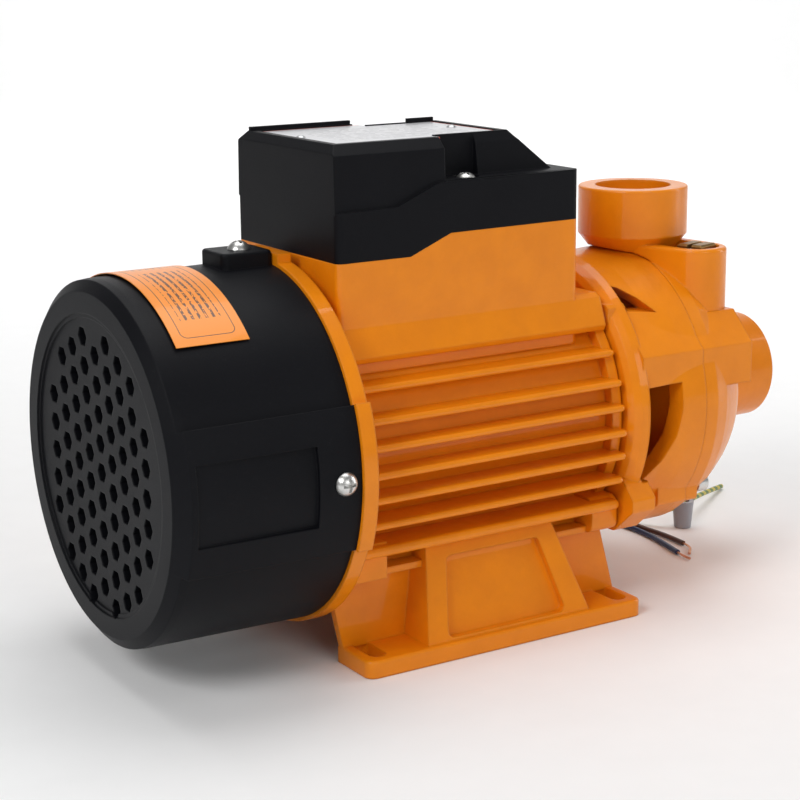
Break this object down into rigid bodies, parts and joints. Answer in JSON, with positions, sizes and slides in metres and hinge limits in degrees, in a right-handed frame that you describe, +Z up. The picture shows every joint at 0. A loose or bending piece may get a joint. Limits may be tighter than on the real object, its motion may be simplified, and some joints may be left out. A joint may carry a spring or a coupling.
{
  "type": "centrifugal water pump",
  "caption": "Close-coupled electric water pump: finned motor with fan cover, terminal box and slotted feet, bracket, vortex pump head with threaded ports and priming plug.",
  "frame": {"origin": "under the middle of the machine, on the plane that the feet stand on", "axes": "+X along the shaft towards the suction port, +Y across to the cable side, +Z up"},
  "size_m": [0.3602, 0.1998, 0.1983],
  "materials": {
    "aluminium": "cast",
    "bare_copper": "bright stranded copper",
    "black_plastic": "satin moulded plastic",
    "blue_wire": "pvc",
    "brass": "machined",
    "brown_wire": "pvc",
    "ceramic": "polished ceramic",
    "copper": "enamelled winding wire",
    "cord_jacket": "matt rubber",
    "earth_wire": "green and yellow pvc",
    "grey_plastic": "satin",
    "lamination": "stacked electrical steel",
    "orange_label": "printed film",
    "orange_paint": "gloss enamel on cast metal",
    "plate_silver": "satin printed foil",
    "rubber": "matt",
    "steel": "ground",
    "white_plastic": "satin",
    "zinc_steel": "zinc-plated"
  },
  "bodies": {
    "frame": {"blue_strands": "bare_copper", "brown_strands": "bare_copper", "cable_gland": "black_plastic", "capacitor": "white_plastic", "casing_bolts": "zinc_steel", "casing_o_ring": "rubber", "core_blue": "blue_wire", "core_brown": "brown_wire", "core_earth": "earth_wire", "core_sleeve": "grey_plastic", "earth_screw": "brass", "fan_cover": "black_plastic", "fan_cover_label": "orange_label", "fan_cover_screws": "zinc_steel", "front_bearing_outer": "steel", "front_bracket": "orange_paint", "gland_nut": "black_plastic", "motor_housing": "orange_paint", "nameplate": "plate_silver", "nameplate_rivets": "zinc_steel", "power_cord": "cord_jacket", "pump_casing": "orange_paint", "rear_bearing_outer": "steel", "rear_end_shield": "orange_paint", "seal_seat": "ceramic", "sleeve_ring": "rubber", "stator_core": "lamination", "stator_windings": "copper", "terminal_block": "white_plastic", "terminal_block_screws": "zinc_steel", "terminal_cover": "black_plastic", "terminal_cover_screws": "zinc_steel", "tie_rod_nuts": "zinc_steel", "tie_rods": "zinc_steel", "wave_spring": "steel", "wear_plate": "brass"},
    "rotor": {"shaft": "steel", "rotor_core": "lamination", "rotor_cage": "aluminium", "cooling_fan": "black_plastic", "fan_circlip": "steel", "impeller": "brass", "impeller_key": "steel", "shaft_slinger": "rubber", "seal_head": "rubber", "seal_spring": "steel", "rear_bearing_inner": "steel", "front_bearing_inner": "steel"},
    "rear_cage": {"rear_bearing_cage": "grey_plastic", "rear_bearing_balls": "steel"},
    "front_cage": {"front_bearing_cage": "grey_plastic", "front_bearing_balls": "steel"},
    "plug": {"priming_plug": "brass", "priming_washer": "rubber"}
  },
  "joints": [
    {"name": "rotor_spin", "type": "hinge", "parent": "frame", "child": "rotor", "pos_m": [0, 0, 0.082], "axis": [1, 0, 0], "continuous": true},
    {"name": "rear_cage_spin", "type": "hinge", "parent": "frame", "child": "rear_cage", "pos_m": [-0.083, 0, 0.082], "axis": [1, 0, 0], "continuous": true},
    {"name": "front_cage_spin", "type": "hinge", "parent": "frame", "child": "front_cage", "pos_m": [0.055, 0, 0.082], "axis": [1, 0, 0], "continuous": true},
    {"name": "priming_plug_lift", "type": "slide", "parent": "frame", "child": "plug", "axis": [0, 0, 1], "range_m": [0, 0.03]}
  ],
  "couplings": [
    {"joint": "rear_cage_spin", "follows": "rotor_spin", "ratio": 0.4136},
    {"joint": "front_cage_spin", "follows": "rotor_spin", "ratio": 0.4136}
  ]
}
